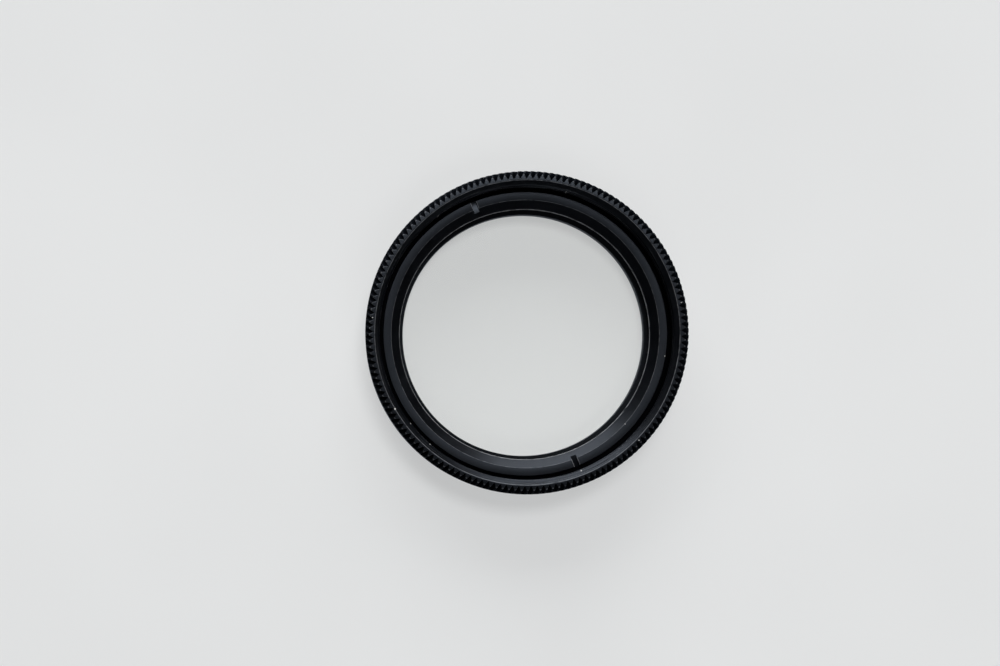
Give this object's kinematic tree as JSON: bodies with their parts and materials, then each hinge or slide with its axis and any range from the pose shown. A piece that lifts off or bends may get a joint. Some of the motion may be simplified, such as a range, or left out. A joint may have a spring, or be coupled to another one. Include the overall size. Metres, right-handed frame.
{
  "type": "screw in lens filter",
  "caption": "Round clear lens filter: a black metal ring with a diagonal knurl round its front edge, a male rear thread, a female front thread and a slotted ring that holds the glass.",
  "frame": {"origin": "on the optical axis, in the plane of the rear end of the male thread, on which the filter lies", "axes": "+Z along the optical axis towards the front face; the two spanner slots of the retaining ring lie on the Y axis"},
  "size_m": [0.0398, 0.0398, 0.0068],
  "materials": {
    "black_mount": "black anodised, satin, with fine turning marks",
    "clear_glass": "polished clear glass",
    "black_retainer": "black anodised, satin"
  },
  "bodies": {
    "root": {"filter_ring": "black_mount", "filter_glass": "clear_glass", "retaining_ring": "black_retainer"}
  },
  "joints": []
}
